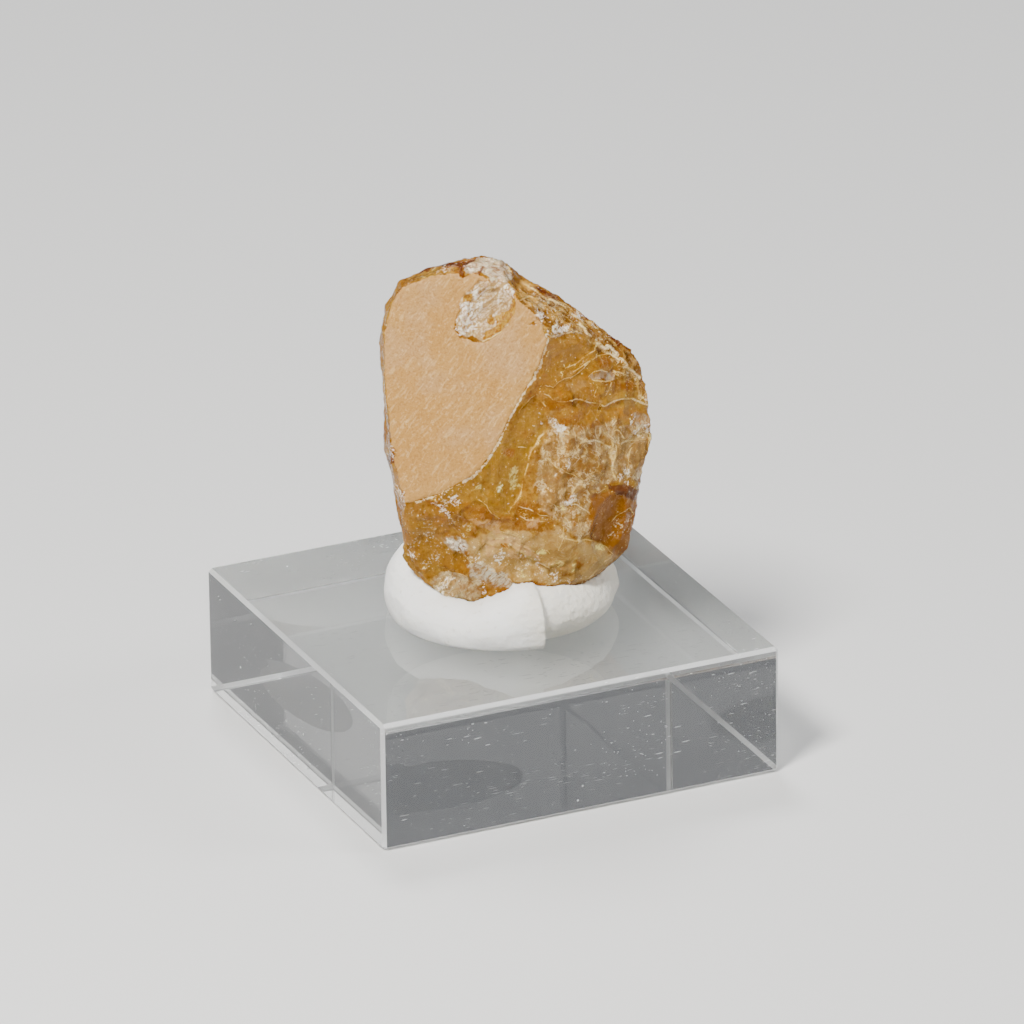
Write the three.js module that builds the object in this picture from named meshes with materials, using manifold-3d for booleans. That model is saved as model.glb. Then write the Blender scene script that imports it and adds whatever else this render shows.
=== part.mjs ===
// A raw stibiotantalite crystal, pressed into a pad of white putty on a clear acrylic block.
// Millimetres, +Z up. The origin is the middle of the block's underside.
import * as THREE from "three";
import { ConvexGeometry } from "three/addons/geometries/ConvexGeometry.js";
import { ImprovedNoise } from "three/addons/math/ImprovedNoise.js";
import { mergeVertices } from "three/addons/utils/BufferGeometryUtils.js";
import Module from "manifold-3d";

// Driving dimensions
const blockSide = 30;
const blockHeight = 9.4;
const blockChamfer = 0.25;
const specimenAt = [0.7, -0.3]; // where the putty's centre sits on the block
const specimenTurn = -24.3; // degrees about Z from the block's edges to the specimen's own frame
const viewRise = 0.42; // how much higher a point looks for each millimetre that it lies further back
const facet = 1.1; // longest edge on the crystal's fracture surfaces
const flatFacet = 6; // longest edge on its natural faces
const padReach = 8.12; // the putty's outer radius
const contactGap = 0.25; // clearance between the crystal's foot and the putty

const wasm = await Module();
wasm.setup();

// Solids and geometries

function solidFrom(geometry) {
  const bare = geometry.index ? geometry.toNonIndexed() : geometry.clone();
  for (const name of Object.keys(bare.attributes)) {
    if (name !== "position") bare.deleteAttribute(name);
  }
  const merged = mergeVertices(bare, 1e-4);
  return new wasm.Manifold(
    new wasm.Mesh({
      numProp: 3,
      vertProperties: new Float32Array(merged.attributes.position.array),
      triVerts: new Uint32Array(merged.index.array),
    }),
  );
}

function geometryFrom(solid) {
  const mesh = solid.getMesh();
  const geometry = new THREE.BufferGeometry();
  geometry.setAttribute("position", new THREE.BufferAttribute(mesh.vertProperties, 3));
  geometry.setIndex(new THREE.BufferAttribute(mesh.triVerts, 1));
  return geometry;
}

// Splits every edge longer than the limit at its middle, the same way on both of its faces.
function splitLongEdges(geometry, limitAt) {
  const points = [];
  const position = geometry.attributes.position;
  for (let i = 0; i < position.count; i++) {
    points.push(new THREE.Vector3().fromBufferAttribute(position, i));
  }
  let faces = [];
  const index = geometry.index.array;
  for (let i = 0; i < index.length; i += 3) faces.push([index[i], index[i + 1], index[i + 2]]);

  let split = true;
  while (split) {
    split = false;
    const middles = new Map();
    const middleOf = (a, b) => {
      const middle = points[a].clone().add(points[b]).multiplyScalar(0.5);
      if (points[a].distanceTo(points[b]) <= limitAt(middle)) return -1;
      const key = a < b ? a + "_" + b : b + "_" + a;
      if (!middles.has(key)) {
        points.push(middle);
        middles.set(key, points.length - 1);
      }
      return middles.get(key);
    };
    const next = [];
    for (const face of faces) {
      const cuts = face.map((a, k) => middleOf(a, face[(k + 1) % 3]));
      if (cuts.some((m) => m >= 0)) split = true;
      next.push(...splitFace(face, cuts));
    }
    faces = next;
  }
  const made = new THREE.BufferGeometry().setFromPoints(points);
  made.setIndex(faces.flat());
  return made;
}

// One face, cut at the middles of those of its edges that are cut. A cut of -1 leaves an edge whole.
function splitFace([a, b, c], [ab, bc, ca]) {
  const count = [ab, bc, ca].filter((m) => m >= 0).length;
  if (count === 0) return [[a, b, c]];
  if (count === 3) return [[a, ab, ca], [ab, b, bc], [ca, bc, c], [ab, bc, ca]];
  if (count === 1) {
    if (ab >= 0) return [[a, ab, c], [ab, b, c]];
    if (bc >= 0) return [[b, bc, a], [bc, c, a]];
    return [[c, ca, b], [ca, a, b]];
  }
  if (ab < 0) return [[c, ca, bc], [ca, a, b], [ca, b, bc]];
  if (bc < 0) return [[a, ab, ca], [ab, b, c], [ab, c, ca]];
  return [[b, bc, ab], [bc, c, a], [bc, a, ab]];
}

// Clear block

// A box with its twelve edges chamfered, standing on z = 0
function blockGeometry() {
  const side = blockSide / 2;
  const points = [];
  for (const x of [-side, side]) {
    for (const y of [-side, side]) {
      for (const z of [0, blockHeight]) {
        const inward = new THREE.Vector3(-Math.sign(x), -Math.sign(y), z ? -1 : 1);
        inward.multiplyScalar(blockChamfer);
        points.push(new THREE.Vector3(x, y + inward.y, z + inward.z));
        points.push(new THREE.Vector3(x + inward.x, y, z + inward.z));
        points.push(new THREE.Vector3(x + inward.x, y + inward.y, z));
      }
    }
  }
  return new ConvexGeometry(points);
}

// Crystal. Its frame has X to the right and Y back, as the specimen is seen, and z = 0 on the block's top.

// A corner given as it is seen: how far right, how high it looks, and how far back it really lies
function seen(right, rise, back) {
  return new THREE.Vector3(right, back, rise - back * viewRise);
}

// The broad natural face at the front left, turned a little to the left and leaning back
const broadNormal = new THREE.Vector3(-0.238, -0.915, 0.325).normalize();
const broadFace = new THREE.Plane().setFromNormalAndCoplanarPoint(broadNormal, seen(-1.5, 9.8, -6.4));

// The natural face at the back, which leans forward, so that the crystal thins to its top edge
const rearNormal = new THREE.Vector3(0.12, 0.94, 0.32).normalize();
const rearFace = new THREE.Plane().setFromNormalAndCoplanarPoint(rearNormal, new THREE.Vector3(0, 5.9, 10));

function onBroadFace(right, rise) {
  const start = seen(right, rise, 0);
  const step = new THREE.Vector3(0, 1, -viewRise);
  return start.addScaledVector(step, -broadFace.distanceToPoint(start) / broadFace.normal.dot(step));
}

function onRearFace(right, height) {
  const point = new THREE.Vector3(right, 0, height);
  point.y = -rearFace.distanceToPoint(point) / rearFace.normal.y;
  return point;
}

const broadCorners = [
  [-6.7, 8.1], [-6.1, 8.2], [-4.2, 8.9], [-3.1, 9.5], [-1.7, 10.3], [-0.9, 11.5], [-0.2, 12.8],
  [1.0, 15.3], [2.1, 17.3], [3.4, 19.9], [2.9, 21.6], [1.2, 23.5], [-1.8, 25.2], [-4.5, 24.9],
  [-6.6, 24.1], [-7.3, 22.9], [-7.8, 20.8], [-7.9, 18.0], [-7.7, 15.0], [-7.4, 11.6],
];
const rearCorners = [
  [-5.4, 22.4], [-1.0, 24.4], [3.4, 21.4], [6.8, 18.0], [8.6, 13.2], [7.9, 7.8], [4.2, 5.2],
  [-2.6, 5.0], [-6.0, 8.4], [-6.9, 16.0],
];
const outline = [
  [-6.8, 24.6, 0.6], [-5.0, 25.4, 0.8], [-3.1, 26.0, 0.8], [-1.0, 26.4, 0.5], [0.2, 26.1, 0.3],
  [0.9, 25.3, 0.3], [3.3, 23.7, 0.9], [6.0, 21.7, 0.8], [7.9, 20.5, 0.6], [9.2, 19.2, 0.5],
  [9.8, 18.2, 0.4], [10.25, 16.2, 0.3], [10.5, 14.4, 0.0], [10.45, 12.6, -0.1], [10.0, 10.8, -0.3],
  [9.6, 8.8, -0.5], [9.3, 6.8, -0.7], [8.9, 4.6, -1.0], [8.4, 3.7, -1.3], [-5.8, 2.3, -3.9],
  [-6.7, 4.0, -3.6], [-7.1, 7.0, -3.2], [-7.6, 10.0, -2.6], [-7.95, 12.0, -2.2], [-8.1, 17.2, -0.9],
  [-8.2, 19.8, -0.1], [-7.8, 22.8, 0.4],
];
const frontSwells = [
  [2.6, 15.6, -5.1], [5.2, 11.9, -4.4], [3.6, 9.0, -5.4], [1.2, 6.8, -6.1], [4.6, 4.9, -5.5],
  [7.0, 4.4, -4.0], [6.2, 2.2, -4.1], [3.4, 1.5, -5.1], [0.6, 1.3, -5.6], [-2.2, 0.4, -5.5],
  [-4.4, 1.2, -4.9],
];
const footCorners = [
  [-2.4, -4.0, 1.3], [1.2, -4.2, 1.7], [4.4, -3.2, 1.9], [-3.4, 1.0, 1.7], [5.2, 1.0, 2.2],
  [-3.4, 4.1, 2.9], [2.6, 4.4, 2.5], [6.4, 3.0, 3.4],
];

function crystalHull() {
  return new ConvexGeometry([
    ...broadCorners.map((c) => onBroadFace(...c)),
    ...rearCorners.map((c) => onRearFace(...c)),
    ...[...outline, ...frontSwells].map((c) => seen(...c)),
    ...footCorners.map((c) => new THREE.Vector3(...c)),
  ]);
}

// The dish that a shell-shaped chip leaves: an ellipsoid that dips into the surface by its depth and is
// as wide and as long there as it says. It faces out along its normal, and its length runs along its lean.
// The matrix takes a unit ball to the ellipsoid.
function chipMatrix({ at, facing, lean, wide, long, depth }) {
  const radius = (wide * wide + depth * depth) / (2 * depth);
  const outward = new THREE.Vector3(...facing).normalize();
  const along = new THREE.Vector3(...lean);
  along.addScaledVector(outward, -along.dot(outward)).normalize();
  const across = new THREE.Vector3().crossVectors(along, outward);
  const centre = at.clone().addScaledVector(outward, radius - depth);
  return new THREE.Matrix4()
    .makeBasis(across, along, outward)
    .setPosition(centre)
    .scale(new THREE.Vector3(radius, (radius * long) / wide, radius));
}

function chipGeometry(one) {
  const matrix = chipMatrix(one);
  const girth = 2 * Math.PI * new THREE.Vector3().setFromMatrixScale(matrix).y;
  const steps = Math.min(90, Math.round(girth / 1.3));
  return new THREE.SphereGeometry(1, steps, Math.round(steps / 2)).applyMatrix4(matrix);
}

const broadFacing = broadNormal.toArray();

// The chips, in millimetres. A glassy one keeps a smooth floor.
const chips = [
  // smooth amber scar under the upper right rim
  {
    at: seen(6.1, 17.9, -3.3), facing: [0.5, -0.84, 0.2], lean: [0.9, 0.4, -0.1],
    wide: 2.9, long: 4.2, depth: 0.8, glassy: true,
  },
  // glassy gully beside the broad face
  {
    at: seen(0.7, 11.2, -5.9), facing: [0.6, -0.8, 0.0], lean: [0.4, 0, 0.92],
    wide: 2.1, long: 4.8, depth: 0.5, glassy: true,
  },
  // long scar whose upper edge is the level ledge at the right
  {
    at: seen(6.7, 14.5, -3.2), facing: [0.56, -0.82, -0.05], lean: [0.85, 0.5, -0.1],
    wide: 1.0, long: 3.6, depth: 0.4,
  },
  // orange scar at the lower left, under the broad face
  {
    at: seen(-4.3, 5.3, -5.5), facing: [-0.2, -0.92, -0.3], lean: [0.2, 0, 1],
    wide: 2.1, long: 2.8, depth: 0.4,
  },
  // stepped scars along the lower front
  {
    at: seen(-0.9, 6.0, -6.25), facing: [0.1, -0.95, -0.25], lean: [1, 0, 0.2],
    wide: 1.4, long: 3.0, depth: 0.45,
  },
  {
    at: seen(0.7, 3.4, -6.0), facing: [0.0, -0.9, -0.4], lean: [1, 0, -0.35],
    wide: 1.2, long: 3.4, depth: 0.5,
  },
  {
    at: seen(-3.6, 2.2, -5.4), facing: [-0.5, -0.8, -0.3], lean: [0.4, 0, 1],
    wide: 0.9, long: 1.5, depth: 0.3,
  },
  // wide rough dip at the middle right
  {
    at: seen(5.6, 9.8, -4.75), facing: [0.35, -0.93, 0.0], lean: [0.3, 0, 1],
    wide: 2.8, long: 3.6, depth: 0.4,
  },
  // dark orange scar at the lower right
  {
    at: seen(7.6, 6.4, -3.0), facing: [0.68, -0.72, -0.1], lean: [0.2, 0, 1],
    wide: 1.9, long: 2.5, depth: 0.65, glassy: true,
  },
  // chipped patch at the broad face's upper right, and a flake at its top
  {
    at: onBroadFace(-0.6, 22.0), facing: broadFacing, lean: [0.6, 0, 0.8],
    wide: 1.6, long: 2.5, depth: 0.6,
  },
  {
    at: onBroadFace(-2.4, 25.0), facing: [-0.2, -0.8, 0.6], lean: [1, 0, 0.1],
    wide: 0.6, long: 1.1, depth: 0.25,
  },
  // bites out of the top edge, the right edge and the left edge
  {
    at: seen(1.9, 24.6, 0.2), facing: [0.6, -0.2, 0.75], lean: [0, 1, 0],
    wide: 0.9, long: 2.6, depth: 0.22,
  },
  {
    at: seen(9.75, 9.7, -0.6), facing: [0.9, -0.4, -0.1], lean: [0, 0.3, 1],
    wide: 0.8, long: 1.4, depth: 0.25,
  },
  {
    at: seen(-7.95, 11.2, -2.9), facing: [-0.95, -0.3, 0.1], lean: [0, 0.5, 1],
    wide: 0.45, long: 0.8, depth: 0.25,
  },
  // scars round the back
  {
    at: onRearFace(4.6, 18.2), facing: [0.3, 0.86, 0.42], lean: [1, 0, -0.6],
    wide: 2.4, long: 3.4, depth: 0.7,
  },
  {
    at: onRearFace(7.4, 10.4), facing: [0.55, 0.8, 0.15], lean: [0, 0, 1],
    wide: 2.2, long: 3.6, depth: 0.8, glassy: true,
  },
  {
    at: onRearFace(-4.8, 8.0), facing: [-0.4, 0.85, -0.2], lean: [0.4, 0, 1],
    wide: 2.2, long: 3.0, depth: 0.7,
  },
  {
    at: onRearFace(1.0, 5.8), facing: [0.1, 0.85, -0.5], lean: [1, 0, 0.1],
    wide: 1.6, long: 3.8, depth: 0.6,
  },
];

// Rough relief of the broken surfaces, in millimetres: swells, sharp-crested hackle and a little grain
const relief = { swell: 0.15, hackle: 0.26, grain: 0.06 };
const noise = new ImprovedNoise();
function fractureRelief(p) {
  const swell = noise.noise(p.x * 0.32 + 7.1, p.y * 0.32, p.z * 0.32);
  const crest = 0.5 - Math.abs(noise.noise(p.x * 0.42, p.y * 0.42 + 3.7, p.z * 0.52));
  const grain = noise.noise(p.x * 0.9, p.y * 0.9, p.z * 0.9 + 5.3);
  return relief.swell * swell + relief.hackle * (crest - 0.42) + relief.grain * grain;
}

// How much of that relief a place takes: none on the two natural faces, a little in the glassy scars
const glassyScars = chips.filter((one) => one.glassy).map((one) => chipMatrix(one).invert());
function roughness(p) {
  const offFaces = Math.min(Math.abs(broadFace.distanceToPoint(p)), Math.abs(rearFace.distanceToPoint(p)));
  const offGlass = Math.min(...glassyScars.map((m) => Math.abs(p.clone().applyMatrix4(m).length() - 1)));
  const broken = THREE.MathUtils.smoothstep(offFaces, 0.02, 0.7);
  return broken * (0.2 + 0.8 * THREE.MathUtils.smoothstep(offGlass, 0.01, 0.12));
}

// Merges the ends of every edge shorter than the limit, where the surface stays closed and no face turns
// over. A point on a sharp crease draws in one that isn't, and creases only shorten along themselves.
function mergeShortEdges(geometry, limit) {
  const position = geometry.attributes.position;
  const points = [];
  for (let i = 0; i < position.count; i++) {
    points.push(new THREE.Vector3().fromBufferAttribute(position, i));
  }
  const faces = [];
  const around = points.map(() => new Set());
  const index = geometry.index.array;
  for (let i = 0; i < index.length; i += 3) {
    faces.push([index[i], index[i + 1], index[i + 2]]);
    faces.at(-1).forEach((v) => around[v].add(faces.length - 1));
  }
  const neighbours = (v) => new Set([...around[v]].flatMap((f) => faces[f]).filter((w) => w !== v));
  const areaVector = (face, moved, to) => {
    const [a, b, c] = face.map((v) => (moved.includes(v) ? to : points[v]));
    return b.clone().sub(a).cross(c.clone().sub(a));
  };
  const isCrease = (a, b) => {
    const shared = [...around[a]].filter((f) => around[b].has(f));
    const [one, other] = shared.map((f) => areaVector(faces[f], [], null));
    return one.dot(other) < 0.9 * one.length() * other.length();
  };
  const creasesAt = (a) => [...neighbours(a)].filter((b) => isCrease(a, b)).length;
  const merge = (a, b) => {
    const shared = [...neighbours(a)].filter((v) => neighbours(b).has(v));
    if (shared.length !== 2) return false;
    const tiny = points[a].distanceTo(points[b]) < 0.12;
    const [held, other] = [creasesAt(a), creasesAt(b)];
    if (held && other && !tiny && (!isCrease(a, b) || held + other > 5)) return false;
    const to = points[a].clone().lerp(points[b], held > other ? 0 : held < other ? 1 : 0.5);
    const isShared = (f) => around[a].has(f) && around[b].has(f);
    const kept = [...new Set([...around[a], ...around[b]])].filter((f) => !isShared(f));
    for (const f of kept) {
      const before = areaVector(faces[f], [], to);
      const after = areaVector(faces[f], [a, b], to);
      if (after.length() < 1e-4 || before.dot(after) < 0.4 * before.length() * after.length()) return false;
    }
    for (const f of [...around[a]].filter(isShared)) {
      faces[f].forEach((v) => around[v].delete(f));
      faces[f] = null;
    }
    for (const f of around[b]) {
      faces[f] = faces[f].map((v) => (v === b ? a : v));
      around[a].add(f);
    }
    around[b].clear();
    points[a].copy(to);
    return true;
  };
  let merged = true;
  while (merged) {
    merged = false;
    const edges = [];
    for (const face of faces) {
      if (!face) continue;
      face.forEach((a, k) => {
        const b = face[(k + 1) % 3];
        const length = points[a].distanceTo(points[b]);
        if (a < b && length < limit) edges.push([length, a, b]);
      });
    }
    edges.sort((one, other) => one[0] - other[0]);
    const touched = new Set();
    for (const [, a, b] of edges) {
      if (touched.has(a) || touched.has(b)) continue;
      if (merge(a, b)) {
        touched.add(a).add(b);
        merged = true;
      }
    }
  }
  const made = new THREE.BufferGeometry().setFromPoints(points);
  made.setIndex(faces.filter(Boolean).flat());
  return made;
}

function crystalGeometry() {
  let solid = solidFrom(crystalHull());
  for (const one of chips) solid = solid.subtract(solidFrom(chipGeometry(one)));
  const clean = mergeShortEdges(geometryFrom(solid), facet * 0.3);
  const rough = mergeShortEdges(
    splitLongEdges(clean, (p) => (roughness(p) > 0.02 ? facet : flatFacet)),
    facet * 0.42,
  );
  rough.computeVertexNormals();
  const { position, normal } = rough.attributes;
  const p = new THREE.Vector3();
  const n = new THREE.Vector3();
  for (let i = 0; i < position.count; i++) {
    p.fromBufferAttribute(position, i);
    n.fromBufferAttribute(normal, i);
    p.addScaledVector(n, fractureRelief(p) * roughness(p));
    position.setXYZ(i, p.x, p.y, p.z);
  }
  return rough;
}

// Putty pad: a rope of putty bent into a ring and pressed flat in the middle, closed at the front right

const seamAt = 292; // degrees anticlockwise from the right, where the rope's ends meet
const crestHeights = [
  [0, 3.9], [40, 4.1], [90, 4.4], [140, 4.5], [180, 4.4], [205, 4.0], [232, 3.1], [250, 2.8], [264, 3.4],
  [282, 4.3], [300, 4.0], [325, 3.7], [360, 3.9],
];

function crestHeight(degrees) {
  const k = crestHeights.findIndex(([at]) => at > degrees);
  const [a, low] = crestHeights[k - 1];
  const [b, high] = crestHeights[k];
  return low + (high - low) * THREE.MathUtils.smoothstep(degrees, a, b);
}

// How far the rope stands out: the end on the seam's left lies over the end on its right.
function ropeReach(degrees) {
  const before = seamAt - degrees;
  const overlap = before >= 0 ? 0.5 * Math.exp(-before / 22) : -0.55 * Math.exp(before / 30);
  return padReach + overlap + 0.1 * Math.sin((degrees * 2 * Math.PI) / 180 + 0.6);
}

// How far the rope's underside tucks in, as a share of its reach: the right end is rounder than the left one.
function ropeTuck(degrees) {
  return 0.015 + 0.075 * (degrees > seamAt ? 1 : Math.max(0, 1 - degrees / 70));
}

// The pad's section, from the middle of its foot round the outside and over the crest to the middle of its
// floor: pairs of radius as a share of the reach and height as a share of the crest
const padSection = [
  [0, 0], [0.5, 0], [0.9, 0], [0.97, 0.03], [0.99, 0.12], [1, 0.25], [1, 0.4], [0.985, 0.56], [0.95, 0.72],
  [0.89, 0.87], [0.81, 0.97], [0.72, 1], [0.62, 0.95], [0.52, 0.82], [0.4, 0.6], [0.24, 0.48], [0, 0.46],
];

function padGeometry() {
  const turns = [];
  for (let d = 0; d < 360; d += 5) if (Math.abs(d - seamAt) > 3) turns.push(d);
  turns.push(seamAt - 1.2, seamAt + 1.2);
  turns.sort((a, b) => a - b);

  const at = (k, degrees) => {
    const [share, level] = padSection[k];
    const angle = THREE.MathUtils.degToRad(degrees);
    const crest = crestHeight(degrees);
    const tucked = k > 0 ? ropeTuck(degrees) * Math.max(0, 1 - level / 0.35) : 0;
    const reach = ropeReach(degrees) * (share - tucked);
    const dent = level > 0.1 ? 0.12 * noise.noise(Math.cos(angle) * 3, Math.sin(angle) * 3, level * 3) : 0;
    return new THREE.Vector3(
      (reach + dent) * Math.cos(angle),
      (reach + dent) * Math.sin(angle),
      Math.max(0, level * crest),
    );
  };
  const foot = new THREE.Vector3(0, 0, 0);
  const floor = new THREE.Vector3(0, 0, padSection.at(-1)[1] * crestHeight(180));
  const triangles = [];
  turns.forEach((a, i) => {
    const b = turns[(i + 1) % turns.length];
    triangles.push(foot, at(1, b), at(1, a));
    for (let k = 1; k < padSection.length - 2; k++) {
      triangles.push(at(k, a), at(k, b), at(k + 1, b), at(k, a), at(k + 1, b), at(k + 1, a));
    }
    triangles.push(at(padSection.length - 2, a), at(padSection.length - 2, b), floor);
  });
  return new THREE.BufferGeometry().setFromPoints(triangles);
}

// The crystal swollen by the contact gap, which presses its own shape into the pad
function swollen(geometry) {
  const grown = mergeVertices(geometry.clone());
  grown.computeVertexNormals();
  const { position, normal } = grown.attributes;
  for (let i = 0; i < position.count; i++) {
    position.setXYZ(
      i,
      position.getX(i) + normal.getX(i) * contactGap,
      position.getY(i) + normal.getY(i) * contactGap,
      position.getZ(i) + normal.getZ(i) * contactGap,
    );
  }
  return grown;
}

// The object

const block = new THREE.Mesh(
  blockGeometry(),
  new THREE.MeshStandardMaterial({
    color: 0xe9edee,
    roughness: 0.05,
    metalness: 0,
    transparent: true,
    opacity: 0.35,
  }),
);
block.name = "acrylic_block";

const crystal = new THREE.Mesh(
  crystalGeometry(),
  new THREE.MeshStandardMaterial({ color: 0xb87a2e, roughness: 0.3, metalness: 0, flatShading: true }),
);
crystal.name = "stibiotantalite_crystal";

const pressed = solidFrom(padGeometry()).subtract(solidFrom(swollen(crystal.geometry)));
const pad = new THREE.Mesh(
  geometryFrom(pressed),
  new THREE.MeshStandardMaterial({ color: 0xe6e3da, roughness: 0.75, metalness: 0 }),
);
pad.name = "putty_pad";

const specimen = new THREE.Group();
specimen.add(crystal, pad);
specimen.position.set(specimenAt[0], specimenAt[1], blockHeight);
specimen.rotation.z = THREE.MathUtils.degToRad(specimenTurn);

const object = new THREE.Group();
object.add(block, specimen);

export default object;
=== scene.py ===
# Raw stibiotantalite crystal in white putty on a clear acrylic block.
import math

import bpy
import numpy as np
from mathutils import Matrix, Vector
from mathutils.bvhtree import BVHTree


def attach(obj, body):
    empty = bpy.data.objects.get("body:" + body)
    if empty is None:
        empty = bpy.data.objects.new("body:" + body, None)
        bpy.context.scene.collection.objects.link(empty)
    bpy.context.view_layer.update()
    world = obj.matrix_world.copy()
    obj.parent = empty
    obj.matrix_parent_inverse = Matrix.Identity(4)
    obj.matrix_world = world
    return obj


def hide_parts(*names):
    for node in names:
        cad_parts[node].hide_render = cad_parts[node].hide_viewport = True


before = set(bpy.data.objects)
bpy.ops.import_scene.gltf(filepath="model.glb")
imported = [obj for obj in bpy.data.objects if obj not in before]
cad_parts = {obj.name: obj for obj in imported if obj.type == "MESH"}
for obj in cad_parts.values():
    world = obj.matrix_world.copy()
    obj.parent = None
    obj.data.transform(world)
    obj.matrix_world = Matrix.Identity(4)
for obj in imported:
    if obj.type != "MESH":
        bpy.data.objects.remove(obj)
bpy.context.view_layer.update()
mm = 0.001

# The specimen stands turned on the block: its own X runs to the right as it is seen, its own Y away.
seat = {"x": 0.7, "y": -0.3, "z": 9.4, "turn": -24.3, "viewRise": 0.42}


# Numbers on meshes

def coordsOf(mesh):
    co = np.empty(len(mesh.vertices) * 3, np.float32)
    mesh.vertices.foreach_get("co", co)
    return co.reshape(-1, 3).astype(np.float64)


def normalsOf(mesh):
    no = np.empty(len(mesh.vertices) * 3, np.float32)
    mesh.vertex_normals.foreach_get("vector", no)
    return no.reshape(-1, 3).astype(np.float64)


def putCoords(mesh, co):
    mesh.vertices.foreach_set("co", co.astype(np.float32).ravel())
    mesh.update()


def putMask(mesh, name, values):
    layer = mesh.attributes.new(name, "FLOAT", "POINT")
    layer.data.foreach_set("value", np.asarray(values, np.float32))


def turnIn(v):  # directions, from the object's frame to the specimen's
    c = math.cos(math.radians(seat["turn"]))
    s = math.sin(math.radians(seat["turn"]))
    return np.stack([v[:, 0] * c + v[:, 1] * s, v[:, 1] * c - v[:, 0] * s, v[:, 2]], 1)


def toSpecimen(co):  # places: metres in the object's frame to millimetres in the specimen's
    return turnIn(co / mm - [seat["x"], seat["y"], seat["z"]])


camera = {
    "azimuth": -24.3214,
    "elevation": 23.3276,
    "roll": -0.7337,
    "distance": 808.858,  # mm, from the point that it looks at
    "right": 1.5605,  # that point, mm to the right of the origin
    "up": 15.2061,
    "frame": 1024,
    "focal": 11592.2,  # in pixels of the frame
    "sensor": 36,  # mm
}
perMm = camera["focal"] / camera["distance"]  # pixels of the frame


def cameraAxes():  # right, up and back, and the place, in millimetres
    az, el, roll = (math.radians(camera[k]) for k in ("azimuth", "elevation", "roll"))
    back = Vector((math.sin(az) * math.cos(el), -math.cos(az) * math.cos(el), math.sin(el)))
    right = Vector((math.cos(az), math.sin(az), 0))
    up = back.cross(right)
    place = right * camera["right"] + up * camera["up"] + back * camera["distance"]
    across = right * math.cos(roll) + up * math.sin(roll)
    upright = up * math.cos(roll) - right * math.sin(roll)
    return across, upright, back, place


def toFrame(co):  # where a place shows in the picture, in pixels
    across, upright, back, place = (np.array(v) for v in cameraAxes())
    middle = camera["frame"] / 2
    d = co / mm - place
    depth = -(d @ back)
    right = camera["focal"] * (d @ across) / depth
    up = camera["focal"] * (d @ upright) / depth
    return np.stack([middle + right, middle - up], 1)


def ramp(x, low, high):  # smooth step from 0 to 1
    t = np.clip((x - low) / (high - low), 0, 1)
    return t * t * (3 - 2 * t)


scramble = (374761393, 668265263, 2147483647, 1274126177)  # odd factors for the three axes and the seed


def cellNoise(cell, seed):  # 0 to 1, the same for the same cell and seed
    fx, fy, fz, mixer = scramble
    h = (cell[..., 0] * fx + cell[..., 1] * fy + cell[..., 2] * fz + seed * mixer) & 0xFFFFFFFF
    h = ((h ^ (h >> 13)) * mixer) & 0xFFFFFFFF
    return ((h ^ (h >> 16)) & 0xFFFFFF) / 0xFFFFFF


def valueNoise(p, scale, seed=0):  # smooth noise, -1 to 1
    q = p * scale
    base = np.floor(q).astype(np.int64)
    f = q - base
    f = f * f * f * (f * (f * 6 - 15) + 10)
    total = 0
    for corner in np.ndindex(2, 2, 2):
        weight = np.prod(np.where(corner, f, 1 - f), axis=1)
        total = total + weight * cellNoise(base + np.array(corner), seed)
    return total * 2 - 1


def layered(p, scale, octaves=3, seed=0):
    sizes = [0.5 ** k for k in range(octaves)]
    return sum(size * valueNoise(p, scale * 2 ** k, seed + k) for k, size in enumerate(sizes)) / sum(sizes)


def spread(p, scale, octaves, seeds):  # a noise of its own for each column
    return np.stack([layered(p, scale, octaves, seed) for seed in seeds], 1)


def ridged(p, scale, octaves=2, seed=0):  # sharp crests at 1
    sizes = [0.5 ** k for k in range(octaves)]
    crests = [1 - np.abs(valueNoise(p, scale * 2.1 ** k, seed + k)) for k in range(octaves)]
    return sum(size * crest for size, crest in zip(sizes, crests)) / sum(sizes)


def alongLine(xy, line):  # distance from a line of points, the side of it, and the run along it
    best = np.full(len(xy), 1e9)
    side = np.zeros(len(xy))
    run = np.zeros(len(xy))
    before = 0
    for a, b in zip(np.array(line[:-1], float), np.array(line[1:], float)):
        d = b - a
        length = math.hypot(*d)
        t = np.clip(((xy - a) @ d) / length ** 2, 0, 1)
        off = xy - (a + t[:, None] * d)
        dist = np.hypot(off[:, 0], off[:, 1])
        near = dist < best
        side[near] = np.sign(d[0] * off[near, 1] - d[1] * off[near, 0])
        run[near] = before + t[near] * length
        best = np.minimum(best, dist)
        before += length
    return best, side, run


def inside(xy, corners):
    hit = np.zeros(len(xy), bool)
    for (ax, ay), (bx, by) in zip(corners, corners[1:] + corners[:1]):
        crosses = (ay > xy[:, 1]) != (by > xy[:, 1])
        if ay != by:
            hit ^= crosses & (xy[:, 0] < (bx - ax) * (xy[:, 1] - ay) / (by - ay) + ax)
    return hit


def regionDepth(xy, corners):  # how far inside an outline, negative outside it
    d = alongLine(xy, corners + corners[:1])[0]
    return np.where(inside(xy, corners), d, -d)


def remeshedCopy(node, name, voxel):
    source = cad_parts[node]
    piece = bpy.data.objects.new(name, source.data.copy())
    bpy.context.scene.collection.objects.link(piece)
    piece.data.materials.clear()
    weld = piece.modifiers.new("weld", "WELD")
    weld.merge_threshold = 0.01 * mm
    remesh = piece.modifiers.new("remesh", "REMESH")
    remesh.mode = "VOXEL"
    remesh.voxel_size = voxel * mm
    remesh.use_smooth_shade = True
    made = bpy.data.meshes.new_from_object(piece.evaluated_get(bpy.context.evaluated_depsgraph_get()))
    piece.modifiers.clear()
    piece.data = made
    made.name = name
    made.materials.clear()
    made.polygons.foreach_set("use_smooth", np.ones(len(made.polygons), bool))
    return piece


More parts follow.
